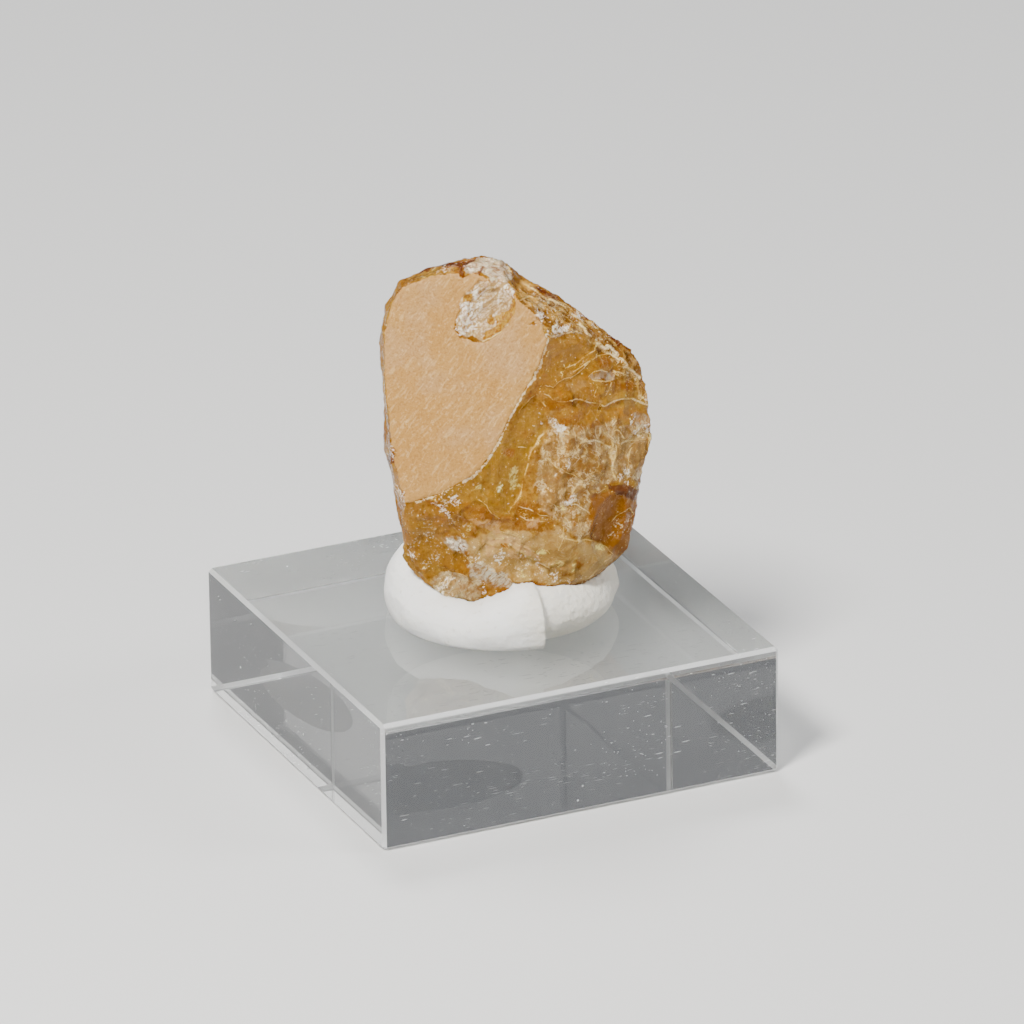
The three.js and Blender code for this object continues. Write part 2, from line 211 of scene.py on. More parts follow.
def report(piece):
    print(piece.name, "made,", sum(len(f.vertices) - 2 for f in piece.data.polygons), "triangles")


# Shader maths

class Signal:
    def __init__(self, socket):
        self.socket = socket

    def maths(self, operation, *others, clamp=False):
        settings = {"operation": operation, "use_clamp": clamp}
        values = dict(enumerate([self, *others]))
        return Shader.current.node("ShaderNodeMath", settings, values)["Value"]

    def __add__(self, other):
        return self.maths("ADD", other)

    __radd__ = __add__

    def __mul__(self, other):
        return self.maths("MULTIPLY", other)

    __rmul__ = __mul__

    def __sub__(self, other):
        return self.maths("SUBTRACT", other)

    def __rsub__(self, other):
        return self.maths("MULTIPLY", -1.0) + other

    def __pow__(self, other):
        return self.maths("POWER", other)

    def __gt__(self, other):
        return self.maths("GREATER_THAN", other)

    def __abs__(self):
        return self.maths("ABSOLUTE")

    def clipped(self):
        return self.maths("ADD", 0.0, clamp=True)

    def crest(self, width):  # 1 where the signal crosses its middle, a thin wandering line
        return abs(self - 0.5).between(width, 0.25 * width)

    def between(self, low, high):  # 0 at low, 1 at high
        return Shader.current.node("ShaderNodeMapRange", {"interpolation_type": "SMOOTHSTEP"},
                                   {"Value": self, "From Min": low, "From Max": high})["Result"]


class Shader:
    current = None

    def __init__(self, name):
        self.material = bpy.data.materials.new(name)
        self.material.use_nodes = True
        self.tree = self.material.node_tree
        self.tree.nodes.clear()
        self.output = self.tree.nodes.new("ShaderNodeOutputMaterial")
        Shader.current = self

    def node(self, kind, settings=None, sockets=None):  # settings first: they decide which sockets show
        made = self.tree.nodes.new(kind)
        for key, value in (settings or {}).items():
            setattr(made, key, value)
        for key, value in (sockets or {}).items():
            socket = made.inputs[key]
            if isinstance(value, Signal):
                self.tree.links.new(value.socket, socket)
            elif socket.type == "RGBA":
                socket.default_value = (*value, 1)
            else:
                socket.default_value = value
        return {s.name: Signal(s) for s in reversed(made.outputs) if s.enabled}

    def place(self):
        return self.node("ShaderNodeTexCoord")["Object"]

    def mask(self, name):
        return self.node("ShaderNodeAttribute", {"attribute_name": name})["Fac"]

    def mixed(self, amount, a, b):
        return self.node("ShaderNodeMix", {"data_type": "RGBA"}, {0: amount, 6: a, 7: b})["Result"]

    def scaled(self, vector, by):
        return self.node("ShaderNodeVectorMath", {"operation": "MULTIPLY"}, {0: vector, 1: by})["Vector"]

    def warped(self, vector, scale, by):  # the same places pushed about by a soft noise
        push = self.node("ShaderNodeTexNoise", {}, {"Vector": vector, "Scale": scale, "Detail": 1.0})["Color"]
        push = self.scaled(push, (by, by, by))
        return self.node("ShaderNodeVectorMath", {"operation": "ADD"}, {0: vector, 1: push})["Vector"]

    def turned(self, vector, by):
        return self.node("ShaderNodeVectorRotate", {"rotation_type": "EULER_XYZ"},
                         {"Vector": vector, "Rotation": tuple(math.radians(v) for v in by)})["Vector"]

    def grain(self, vector, scale, detail=3.0, rough=0.55, distortion=0.0):
        return self.node("ShaderNodeTexNoise", {}, {"Vector": vector, "Scale": scale, "Detail": detail,
                                                    "Roughness": rough, "Distortion": distortion})["Fac"]

    def cells(self, vector, scale):
        return self.node("ShaderNodeTexVoronoi", {}, {"Vector": vector, "Scale": scale})["Distance"]

    def bump(self, height, strength, distance):
        return self.node("ShaderNodeBump", {}, {"Height": height, "Strength": strength,
                                                "Distance": distance})["Normal"]

    def surface(self, finish, varying=None):  # what is the same all over, and what changes
        return self.node("ShaderNodeBsdfPrincipled", {}, {**finish, **(varying or {})})["BSDF"]

    def blended(self, amount, a, b):
        return self.node("ShaderNodeMixShader", {}, {0: amount, 1: a, 2: b})["Shader"]

    def finish(self, surface, volume=None):
        self.tree.links.new(surface.socket, self.output.inputs["Surface"])
        if volume is not None:
            self.tree.links.new(volume.socket, self.output.inputs["Volume"])
        return self.material


# Crystal

crystalWork = {
    "voxel": 0.134,  # mm, as are the heights of the relief
    "hackle": 0.10,  # of the broken surfaces
    "rimHackle": 0.14,  # along the splintered rim
    "milkHackle": 0.13,
    "smoothHackle": 0.03,
    "scarHackle": 0.16,
    "specks": 0.05,  # of the bruised white places
    "scarDepth": 0.30,  # of the crushed hollow high on the broad face
    "lineRise": 0.04,  # of a bright fracture line
    "edgeChips": 0.10,  # of the chips along the broad face
    "faceSwell": 0.015,  # of the two natural faces
    "wander": 5.0,  # how far the outlines of places stray, in pixels
    "fray": 2.5,  # the same in fine steps
    "lineWander": 1.5,  # the same for fracture lines
    "dash": 9,  # the length over which a line dims and brightens, in pixels
    "grain": {  # the noises in the stone: size, layers, roughness and twist
        "swirl": (330, 4, 0.6, 0.8),
        "blotch": (900, 4, 0.6, 0.4),
        "grit": (2400, 3, 0.6),
        "speckle": (5600, 2, 0.6),
        "wisps": (240, 5, 0.60, 1.6),
        "threads": (520, 4, 0.60, 1.2),
        "filigree": (1250, 3, 0.6, 1.0),
        "pores": (3600, 2, 0.7),
        "clouds": (240, 3),
    },
    "splits": {"turn": (0, 40, 0), "sizes": (700, 3800, 3800)},  # long cleavage marks
    "fibres": {"turn": (0, 58, 0), "sizes": (900, 4600, 4600)},  # growth marks of the natural faces
    "shells": {"size": 520, "push": 500, "by": 0.0016, "depth": 0.0005},  # the dishes of glassy breaks
    "growthDepth": 0.00008,  # m, of the marks on the natural faces
    "glass": {"Base Color": (0.92, 0.55, 0.05), "Roughness": 0.05, "IOR": 1.6, "Specular IOR Level": 0.25,
              "Specular Tint": (1.0, 0.72, 0.30), "Transmission Weight": 1.0},
    "cloud": {"Roughness": 0.13, "IOR": 1.5, "Specular IOR Level": 0.25, "Specular Tint": (1.0, 0.74, 0.30),
              "Subsurface Weight": 0.3, "Subsurface Radius": (0.0012, 0.0006, 0.0002),
              "Subsurface Scale": 1.0},
    "satin": {"Roughness": 0.45, "IOR": 1.5, "Specular IOR Level": 0.25, "Subsurface Weight": 0.15,
              "Subsurface Radius": (0.0012, 0.0006, 0.0003), "Subsurface Scale": 1.0},
    "depthTint": {"Color": (0.92, 0.64, 0.03), "Density": 520.0},
    "colours": {
        "amber": (0.38, 0.155, 0.006),
        "deepAmber": (0.25, 0.085, 0.003),
        "paleAmber": (0.50, 0.27, 0.030),
        "orange": (0.42, 0.18, 0.008),
        "olive": (0.40, 0.21, 0.010),
        "dark": (0.225, 0.070, 0.002),
        # the colour of the painted glints, highlights set into the surface colour
        "glow": (0.92, 0.74, 0.20),
        "fleck": (0.62, 0.36, 0.07),
        # cream of the knob, raised to take in the painted highlights of its glints
        "cream": (0.96, 0.82, 0.58),
        "film": (0.78, 0.72, 0.54),
        "lobe": (0.64, 0.50, 0.26),
        "plate": (0.29, 0.155, 0.042),
        "crack": (0.10, 0.022, 0.004),
        "milk": (0.455, 0.295, 0.112),
        "milkShade": (0.25, 0.12, 0.025),
        "honey": (0.50, 0.325, 0.108),
        "honeyShade": (0.40, 0.235, 0.062),
        "pink": (0.51, 0.29, 0.12),
        "grey": (0.48, 0.38, 0.26),
        "silver": (0.64, 0.47, 0.29),
        "scarShade": (0.36, 0.22, 0.08),
        # gold and rimShade: painted highlights on the rim's splinter crests and painted shade between them,
        # over the rim's own gold-brown
        "gold": (0.52, 0.29, 0.06),
        "rimShade": (0.19, 0.075, 0.008),
        # vein: the pale fracture lines, also painted on as glitter and as glints on the rim's splinters
        "vein": (0.86, 0.68, 0.38),
        "goldLine": (0.70, 0.48, 0.14),
        "web": (0.74, 0.57, 0.28),
        "white": (0.90, 0.83, 0.72),
        "tan": (0.44, 0.235, 0.058),
        "tanGold": (0.43, 0.22, 0.048),
        "tanLilac": (0.45, 0.265, 0.112),
        # tanPale: pale growth marks, and also the painted sparkles on the natural faces
        "tanPale": (0.66, 0.44, 0.19),
        "tanShade": (0.30, 0.14, 0.025),
    },
}

broadNormal = np.array([-0.238, -0.915, 0.325])
broadNormal /= np.linalg.norm(broadNormal)
broadPoint = np.array([-1.5, -6.4, 9.8 + 6.4 * seat["viewRise"]])
rearNormal = np.array([0.12, 0.94, 0.32])
rearNormal /= np.linalg.norm(rearNormal)
rearPoint = np.array([0, 5.9, 10.0])

# Fracture lines of the front as they show in the frame, in pixels: half width, brightness (the line's own
# pale colour, partly painted glint along its lit edge), how far the surface drops beyond the line in mm
# (to its right hand, or its left where negative), and the points.
fractures = [
    (1.2, 0.8, 0.08, [(519, 412), (523, 406), (527, 402), (531, 398), (536, 395), (543, 395), (549, 397),
                      (553, 400)]),
    (0.9, 0.6, 0.10, [(553, 400), (562, 402), (572, 401)]),
    (1.5, 1.15, 0.10, [(572, 401), (576, 399), (581, 399), (588, 402), (595, 403), (600, 404), (604, 407)]),
    (1.8, 1.1, 0.10, [(604, 407), (610, 404), (615, 401), (621, 399), (628, 399), (634, 399), (639, 401),
                      (644, 404), (650, 406)]),
    (1.3, 0.9, 0.00, [(540, 401), (543, 403), (545, 405)]),
    (1.0, 0.8, 0.08, [(546, 386), (549, 386), (553, 388), (558, 382), (564, 379), (572, 377), (580, 371),
                      (590, 361), (600, 353)]),
    (1.0, 0.8, 0.06, [(599, 345), (596, 350), (590, 354), (583, 359), (577, 363), (567, 367)]),
    (0.8, 0.6, 0.04, [(612, 353), (603, 355), (594, 358), (586, 363), (574, 371)]),
    (1.6, 1.0, 0.10, [(580, 324), (585, 329), (588, 333), (591, 335)]),
    (2.3, 1.3, 0.14, [(600, 343), (604, 346), (608, 348)]),
    (2.3, 1.3, 0.10, [(608, 345), (613, 348), (618, 353)]),
    (1.5, 0.9, 0.10, [(607, 349), (613, 353), (618, 358), (619, 362)]),
    (2.0, 1.2, 0.00, [(621, 358), (624, 361), (627, 365)]),
    (1.5, 1.0, 0.00, [(619, 366), (623, 367), (627, 368)]),
    (2.0, 1.3, 0.14, [(628, 368), (634, 372), (640, 378)]),
    (1.2, 0.8, 0.08, [(615, 371), (622, 373), (628, 376), (634, 377), (639, 381), (642, 388), (642, 398)]),
    (1.0, 0.7, 0.05, [(616, 374), (622, 377), (629, 380), (636, 384), (640, 390), (640, 397)]),
    (1.2, 0.8, 0.00, [(600, 326), (612, 332), (622, 339), (630, 345), (637, 354)]),
    (1.3, 1.0, 0.00, [(637, 354), (641, 362), (643, 369)]),
    (1.2, 0.9, 0.00, [(643, 370), (645, 378), (648, 388), (650, 396)]),
    (1.7, 1.0, 0.00, [(550, 332), (553, 328), (557, 323)]),
    (1.4, 0.9, 0.00, [(564, 332), (566, 327), (570, 323)]),
    (1.6, 1.0, 0.00, [(572, 313), (578, 318), (583, 321)]),
    (1.3, 0.9, 0.00, [(587, 321), (593, 325), (598, 328)]),
    (1.2, 0.7, 0.05, [(551, 337), (560, 334), (570, 333), (578, 331)]),
    (1.1, 0.8, 0.10, [(524, 283), (535, 290), (545, 296), (556, 301), (564, 305), (572, 312)]),
    (0.9, 0.6, 0.06, [(520, 300), (530, 296), (540, 298)]),
    (1.2, 0.7, 0.00, [(560, 301), (566, 304), (572, 309)]),
    (1.0, 0.8, 0.06, [(588, 377), (594, 371), (602, 370), (608, 372), (612, 368)]),
    (1.0, 0.8, 0.00, [(588, 378), (594, 381), (605, 382), (613, 380), (615, 373)]),
    (1.0, 0.7, 0.04, [(612, 382), (610, 388), (607, 395)]),
    (0.8, 0.6, 0.00, [(599, 384), (596, 391), (594, 396), (600, 397)]),
    (0.9, 0.7, 0.00, [(600, 407), (597, 414), (594, 424)]),
    (2.4, 0.8, 0.08, [(550, 424), (556, 430), (563, 433), (570, 434), (575, 435), (580, 438), (584, 440)]),
    (1.8, 1.1, 0.10, [(586, 441), (593, 440), (600, 442), (606, 445), (610, 447), (613, 451)]),
    (1.6, 1.3, 0.00, [(587, 441), (591, 444)]),
    (1.8, 0.7, 0.05, [(612, 440), (613, 446), (611, 452), (613, 460), (612, 468), (614, 476), (616, 479)]),
    (1.0, 0.7, 0.00, [(617, 446), (615, 453), (614, 461)]),
    (1.1, 0.9, 0.05, [(613, 431), (616, 429), (619, 431), (622, 434), (624, 437)]),
    (1.0, 0.8, 0.00, [(612, 425), (615, 421), (617, 417)]),
    (1.1, 0.9, 0.08, [(630, 437), (632, 434), (636, 432), (644, 432), (650, 434), (651, 440)]),
    (0.9, 0.7, 0.00, [(629, 441), (636, 440), (645, 439), (650, 439)]),
    (1.0, 0.6, 0.05, [(633, 448), (629, 456), (628, 462), (628, 469)]),
    (1.1, 0.8, 0.00, [(650, 440), (649, 450), (646, 460), (643, 466), (640, 473), (638, 478)]),
    (1.0, 0.7, 0.00, [(579, 447), (582, 443), (586, 441)]),
    (0.9, 0.6, 0.00, [(585, 446), (588, 452), (584, 456)]),
    (1.0, 0.7, 0.06, [(576, 472), (581, 477), (583, 481), (577, 485), (573, 490), (571, 496)]),
    (1.0, 0.5, 0.00, [(590, 452), (596, 456), (598, 462), (597, 470), (600, 474), (607, 474), (612, 475)]),
    (0.9, 0.5, 0.00, [(586, 476), (592, 473), (600, 471)]),
    (0.9, 0.5, 0.00, [(556, 448), (561, 450), (566, 446), (570, 451), (567, 457), (572, 460)]),
    (1.0, 0.7, 0.08, [(540, 457), (547, 459), (552, 463), (557, 467), (562, 470), (570, 474), (577, 478)]),
    (1.3, 0.9, 0.10, [(544, 434), (540, 438), (536, 446)]),
    (1.0, 0.6, 0.16, [(536, 446), (532, 452), (529, 462), (526, 472), (523, 482), (521, 492), (519, 498),
                      (515, 504), (512, 508)]),
    (1.0, 0.9, 0.00, [(518, 447), (522, 447), (526, 448)]),
    (1.2, 1.0, 0.08, [(563, 505), (570, 504), (577, 505), (582, 509), (588, 512), (590, 514)]),
    (0.8, 0.6, 0.00, [(578, 511), (579, 516), (578, 521)]),
    (1.1, 1.0, 0.10, [(520, 506), (530, 509), (536, 512), (541, 516), (546, 516), (550, 518)]),
    (0.8, 0.7, 0.00, [(519, 511), (523, 513), (527, 515)]),
    (1.0, 0.9, 0.10, [(520, 516), (526, 520), (535, 521), (543, 523)]),
    (0.9, 0.6, 0.00, [(564, 523), (564, 535), (562, 543), (559, 549)]),
    (0.8, 0.5, 0.00, [(585, 540), (580, 548), (574, 556)]),
    (1.0, 0.8, 0.06, [(612, 521), (617, 516), (625, 512), (630, 508), (633, 513)]),
    (1.0, 0.7, 0.06, [(598, 493), (602, 490), (607, 488)]),
    (1.0, 0.7, 0.08, [(479, 500), (487, 506), (491, 513), (496, 517)]),
    (1.7, 1.3, 0.12, [(511, 545), (516, 548), (521, 551), (524, 555), (526, 558)]),
    (1.0, 0.8, 0.12, [(526, 558), (531, 562), (537, 564), (543, 567), (549, 569)]),
    (1.0, 0.7, 0.14, [(481, 547), (487, 541), (495, 538), (505, 539), (513, 541), (520, 544), (526, 549),
                      (531, 556), (537, 561)]),
    (1.0, 0.8, 0.10, [(538, 562), (545, 566), (550, 568), (556, 565), (563, 563)]),
    (1.6, 1.2, 0.00, [(553, 564), (558, 563), (563, 563)]),
    (0.9, 0.6, 0.08, [(500, 531), (508, 533), (515, 536), (520, 540)]),
    (0.8, 0.5, 0.06, [(503, 545), (510, 552), (516, 559), (522, 565)]),
    (0.9, 0.6, 0.06, [(519, 572), (524, 574), (528, 577)]),
    (1.0, 0.7, -0.14, [(560, 537), (575, 541), (588, 540), (600, 541), (606, 546), (612, 553), (617, 557)]),
    (1.0, 0.8, 0.00, [(589, 578), (596, 571), (604, 562), (610, 557)]),
    (0.8, 0.6, 0.00, [(543, 551), (546, 549), (549, 552)]),
    (0.8, 0.5, 0.00, [(508, 531), (516, 533), (522, 538)]),
    (1.0, 0.7, 0.12, [(437, 566), (444, 568), (452, 571), (460, 574), (466, 576)]),
    (0.8, 0.5, 0.10, [(462, 552), (466, 558), (474, 562), (482, 566), (492, 571), (502, 576), (512, 581)]),
    (0.8, 0.6, 0.06, [(451, 561), (454, 556), (458, 552), (463, 556), (467, 561)]),
    (0.8, 0.4, 0.12, [(430, 500), (440, 508), (450, 517), (455, 525)]),
    (0.8, 0.4, 0.12, [(404, 503), (402, 520), (405, 545), (411, 562), (418, 574)]),
    (1.4, 1.1, 0.00, [(436, 590), (438, 586), (440, 582)]),
    (1.4, 1.1, 0.00, [(443, 585), (445, 581), (447, 578)]),
    (1.2, 1.0, 0.00, [(448, 585), (450, 581), (451, 578)]),
    (1.1, 0.9, 0.00, [(515, 297), (517, 303), (516, 312), (511, 321), (506, 327), (500, 332), (491, 338),
                      (483, 341)]),
    (0.9, 0.7, 0.05, [(495, 257), (503, 260), (509, 266), (513, 273)]),
]

# Where the broken edge of the broad face is chipped white.
chippedEdge = [(549, 338), (543, 350), (539, 360), (534, 380), (527, 382), (514, 402), (505, 422),
               (496, 440), (484, 460), (478, 468), (470, 474), (452, 483), (436, 491), (420, 499)]

# The splintered rim on the right, from the top knob down.
rimLine = [(478, 255), (497, 256), (511, 266), (520, 278), (540, 288), (560, 300), (580, 313), (600, 325),
           (620, 336), (635, 350), (645, 370), (650, 395), (651, 430), (648, 460), (641, 480), (637, 510),
           (632, 535), (625, 556)]

# The shelf between the broad face and the rim, both orange and smooth.
glassyShelf = [(549, 339), (575, 334), (592, 344), (612, 360), (612, 372), (590, 380), (600, 398), (560, 396),
               (545, 390), (532, 392), (540, 365)]

# Places on the front with a look of their own, and places of painted glints and painted glitter: outlines
# in the frame, in pixels, and how soft their edge is.
places = {
    "white": (6, [
        [(456, 322), (463, 306), (470, 304), (472, 315), (478, 330), (466, 336), (456, 330)],
        [(457, 334), (465, 333), (466, 339), (459, 340)],
        [(440, 268), (449, 267), (449, 272), (441, 273)],
        [(463, 264), (469, 266), (470, 273), (464, 272)],
        [(535, 312), (548, 310), (550, 318), (541, 321), (535, 319)],
        [(528, 322), (536, 321), (536, 327), (530, 327)],
        [(571, 312), (579, 312), (584, 319), (576, 319)],
        [(591, 321), (598, 325), (596, 328), (590, 325)],
        [(550, 324), (558, 322), (570, 323), (568, 333), (556, 333), (549, 332)],
        [(450, 497), (459, 498), (460, 505), (456, 511), (451, 507)],
        [(430, 501), (440, 507), (449, 511), (453, 522), (446, 518), (437, 510)],
        [(445, 538), (461, 537), (464, 545), (458, 553), (451, 547), (444, 541)],
        [(497, 550), (507, 551), (506, 560), (501, 566), (497, 559)],
        [(473, 554), (481, 554), (481, 559), (475, 560)],
        [(520, 558), (525, 558), (525, 566), (520, 565)],
        [(534, 560), (539, 561), (541, 574), (536, 573)],
        [(434, 592), (438, 580), (452, 576), (455, 580), (448, 591), (438, 597)],
        [(481, 582), (488, 583), (491, 595), (486, 597), (482, 589)],
        [(443, 594), (453, 594), (455, 600), (446, 601)],
        [(397, 486), (404, 489), (403, 500), (400, 514), (397, 500)],
        [(620, 470), (630, 469), (631, 479), (621, 480)],
        [(624, 481), (633, 481), (632, 486), (625, 486)],
        [(408, 549), (414, 556), (415, 563), (408, 557)],
        [(550, 575), (560, 576), (571, 578), (568, 583), (558, 582)],
        [(549, 420), (560, 420), (567, 426), (566, 434), (556, 433), (549, 427)],
        [(562, 505), (565, 499), (571, 495), (579, 503), (572, 506)],
        [(633, 415), (638, 417), (636, 423), (632, 420)],
        [(634, 428), (650, 427), (650, 433), (636, 433)],
        [(388, 446), (395, 448), (398, 458), (392, 460)],
        # a painted glint in the gully
        [(498, 485), (503, 486), (502, 491), (498, 490)],
        [(645, 397), (652, 397), (652, 407), (646, 404)],
        [(537, 420), (543, 421), (543, 424), (538, 424)],
        [(568, 460), (572, 461), (570, 468), (567, 467)],
        [(425, 264), (434, 263), (434, 266), (426, 267)],
        [(451, 259), (465, 257), (465, 260), (452, 262)],
    ]),
    # Painted glitter: sparkling dots on the broken surfaces.
    "glitter": (12, [
        [(402, 500), (428, 497), (452, 486), (478, 474), (484, 486), (470, 500), (455, 512), (468, 530),
         (480, 545), (470, 566), (440, 570), (415, 575), (402, 545)],
        [(520, 285), (545, 292), (580, 313), (610, 330), (640, 362), (646, 396), (632, 392), (615, 365),
         (590, 336), (550, 332), (530, 318)],
        [(520, 530), (545, 560), (585, 575), (560, 584), (520, 582), (500, 566)],
        [(606, 518), (632, 508), (632, 540), (620, 552), (606, 540)],
    ]),
    "scar": (4, [
        [(458, 331), (456, 322), (463, 306), (462, 299), (470, 292), (476, 285), (488, 280), (500, 279),
         (512, 286), (516, 300), (514, 315), (505, 328), (495, 336), (483, 342), (474, 334), (466, 338)],
    ]),
    "scarWall": (2, [
        [(513, 296), (518, 303), (515, 313), (509, 321), (500, 330), (492, 336), (483, 340), (482, 334),
         (489, 328), (496, 325), (492, 319), (499, 314), (506, 311), (510, 305)],
        [(464, 298), (472, 296), (471, 303), (465, 304)],
        [(485, 319), (491, 318), (490, 324), (485, 323)],
    ]),
    # Painted glints: small bright spots where the light catches facets, mostly in the gully.
    "glow": (3, [
        [(511, 468), (517, 465), (519, 475), (516, 489), (509, 489)],
        [(498, 484), (503, 485), (503, 492), (497, 491)],
        [(561, 504), (565, 506), (565, 512), (560, 510)],
        [(474, 484), (482, 483), (482, 490), (475, 491)],
        [(571, 564), (575, 564), (576, 572), (572, 572)],
        [(466, 526), (471, 526), (471, 531), (466, 531)],
        [(598, 546), (604, 547), (603, 552), (597, 551)],
        [(536, 434), (541, 435), (540, 441), (535, 440)],
        [(511, 479), (518, 480), (519, 488), (510, 491)],
        [(551, 563), (558, 561), (564, 563), (563, 567), (552, 568)],
        [(539, 549), (544, 549), (544, 554), (539, 554)],
        [(520, 571), (527, 573), (526, 577), (519, 575)],
    ]),
    "knob": (4, [
        [(484, 258), (490, 255), (503, 259), (511, 268), (516, 277), (506, 282), (492, 281), (484, 272),
         (481, 268)],
        [(463, 262), (474, 259), (482, 257), (486, 262), (480, 270), (472, 274), (464, 272)],
    ]),
    "grey": (3, [
        [(588, 378), (594, 371), (602, 370), (608, 372), (613, 369), (615, 378), (606, 382), (595, 382)],
        [(538, 296), (545, 293), (560, 303), (552, 307), (541, 304)],
        [(548, 336), (556, 327), (572, 328), (590, 334), (575, 334), (560, 336)],
        [(636, 412), (646, 416), (648, 430), (638, 428)],
    ]),
    "film": (9, [
        [(467, 566), (478, 562), (490, 569), (503, 576), (518, 583), (508, 588), (495, 588), (483, 580),
         (472, 576)],
        [(440, 539), (452, 535), (466, 541), (466, 550), (454, 550)],
    ]),
    "milk": (7, [
        [(546, 416), (565, 424), (585, 425), (600, 427), (612, 418), (632, 424), (640, 430), (651, 434),
         (650, 448), (645, 470), (640, 480), (620, 480), (602, 484), (592, 496), (590, 535), (580, 541),
         (566, 530), (552, 520), (538, 503), (536, 480), (540, 460), (546, 440)],
    ]),
    "plate": (3, [
        [(547, 462), (556, 467), (569, 473), (566, 486), (558, 491), (546, 489), (542, 476)],
        [(602, 447), (610, 454), (611, 471), (602, 472), (599, 460)],
        [(619, 443), (630, 443), (627, 456), (627, 468), (620, 462), (616, 452)],
        [(633, 443), (648, 442), (645, 460), (638, 471), (631, 466), (631, 452)],
        [(540, 492), (560, 495), (562, 502), (545, 506), (536, 500)],
        [(573, 486), (582, 484), (585, 492), (580, 500), (573, 497)],
        [(545, 441), (556, 442), (554, 452), (544, 452)],
    ]),
    "lobe": (8, [
        [(430, 584), (440, 574), (462, 574), (478, 578), (484, 592), (480, 602), (466, 608), (452, 606),
         (440, 598)],
    ]),
    "olive": (9, [
        [(515, 405), (500, 432), (488, 455), (478, 472), (460, 480), (440, 490), (450, 500), (480, 506),
         (498, 520), (508, 515), (520, 490), (530, 460), (540, 440), (546, 410), (530, 402)],
        [(593, 541), (608, 545), (609, 557), (603, 568), (595, 562)],
    ]),
    "dark": (5, [
        [(590, 497), (598, 492), (607, 489), (615, 488), (625, 487), (636, 490), (640, 500), (637, 512),
         (634, 522), (632, 535), (629, 548), (624, 558), (612, 551), (604, 545), (596, 540), (589, 536),
         (590, 515)],
        [(479, 514), (482, 508), (490, 510), (496, 520), (480, 520)],
        [(596, 361), (604, 357), (613, 359), (611, 366), (600, 368)],
        [(498, 543), (507, 544), (510, 550), (500, 549)],
        [(576, 559), (584, 561), (584, 573), (576, 569)],
        [(503, 448), (515, 448), (515, 457), (503, 455)],
        [(481, 511), (494, 513), (496, 522), (480, 521)],
        [(620, 384), (632, 381), (638, 386), (630, 390), (620, 389)],
        [(520, 582), (535, 580), (550, 583), (566, 586), (580, 583), (590, 578), (588, 585), (565, 592),
         (540, 590), (522, 588)],
        [(490, 595), (500, 590), (513, 586), (514, 592), (500, 598)],
    ]),
    "crack": (3, [
        [(604, 482), (612, 484), (622, 485), (633, 487), (639, 490), (637, 500), (629, 499), (622, 493),
         (613, 490)],
        [(609, 328), (618, 331), (623, 342), (616, 345), (609, 338)],
        [(528, 282), (545, 289), (560, 298), (572, 309), (558, 302), (544, 294), (530, 288)],
        [(398, 278), (410, 271), (426, 268), (440, 265), (458, 262), (478, 257), (466, 266), (450, 268),
         (430, 272), (410, 277)],
        [(388, 454), (396, 452), (397, 462), (389, 466)],
        [(610, 325), (624, 332), (635, 342), (643, 357), (637, 358), (628, 347), (617, 338)],
        [(576, 306), (592, 315), (608, 324), (604, 327), (588, 319), (574, 311)],
        [(457, 266), (461, 266), (463, 274), (470, 276), (479, 274), (486, 266), (488, 269), (480, 278),
         (468, 280), (459, 275)],
    ]),
    "pink": (5, [
        [(466, 521), (480, 522), (503, 521), (500, 527), (503, 531), (493, 534), (485, 529), (475, 527)],
        [(480, 547), (488, 538), (500, 534), (510, 537), (521, 541), (529, 546), (536, 556), (542, 564),
         (534, 562), (524, 556), (514, 547), (503, 543), (490, 544)],
        [(528, 519), (540, 521), (538, 529), (528, 528)],
        [(508, 549), (516, 553), (522, 562), (514, 562), (508, 556)],
        [(483, 548), (492, 546), (494, 556), (486, 558)],
    ]),
    "honey": (8, [
        [(462, 545), (480, 535), (505, 530), (530, 532), (540, 562), (560, 572), (585, 578), (560, 584),
         (520, 581), (500, 574), (480, 564), (466, 556)],
        [(532, 534), (560, 529), (576, 541), (600, 543), (613, 556), (606, 567), (592, 579), (560, 572),
         (545, 568), (531, 560), (528, 548)],
    ]),
    "orange": (10, [
        [(403, 498), (425, 500), (446, 516), (452, 532), (442, 545), (456, 558), (468, 570), (440, 566),
         (420, 576), (410, 566), (404, 550), (400, 530)],
        [(560, 404), (600, 408), (648, 408), (650, 424), (622, 420), (600, 424), (575, 420)],
        [(452, 498), (480, 504), (496, 520), (466, 520), (452, 512)],
        glassyShelf,
    ]),
    "smooth": (6, [
        glassyShelf,
        [(512, 410), (500, 436), (486, 462), (496, 490), (504, 512), (514, 500), (528, 462), (538, 440),
         (544, 408), (530, 402)],
        [(592, 498), (610, 490), (632, 500), (630, 520), (610, 545), (592, 534)],
        [(535, 536), (560, 532), (598, 546), (600, 560), (560, 568), (535, 556)],
        [(467, 564), (480, 560), (505, 574), (518, 584), (500, 590), (474, 578)],
    ]),
    "rim": (7, [
        [(516, 276), (535, 283), (560, 298), (580, 312), (605, 325), (632, 342), (648, 375), (655, 400),
         (642, 402), (634, 384), (618, 366), (600, 346), (580, 334), (560, 330), (535, 326), (520, 300)],
    ]),
}


def placeMasks(p, shown, front):
    stray = spread(p, 0.9, 3, (61, 71))
    ragged = crystalWork["wander"] * stray + crystalWork["fray"] * spread(p, 3.2, 2, (64, 74))
    masks = {}
    for kind, (soft, outlines) in places.items():
        best = np.full(len(p), -1e3)
        for outline in outlines:
            best = np.maximum(best, regionDepth(shown + ragged, outline))
        masks[kind] = ramp(best, -soft, soft) * front
    return masks, stray


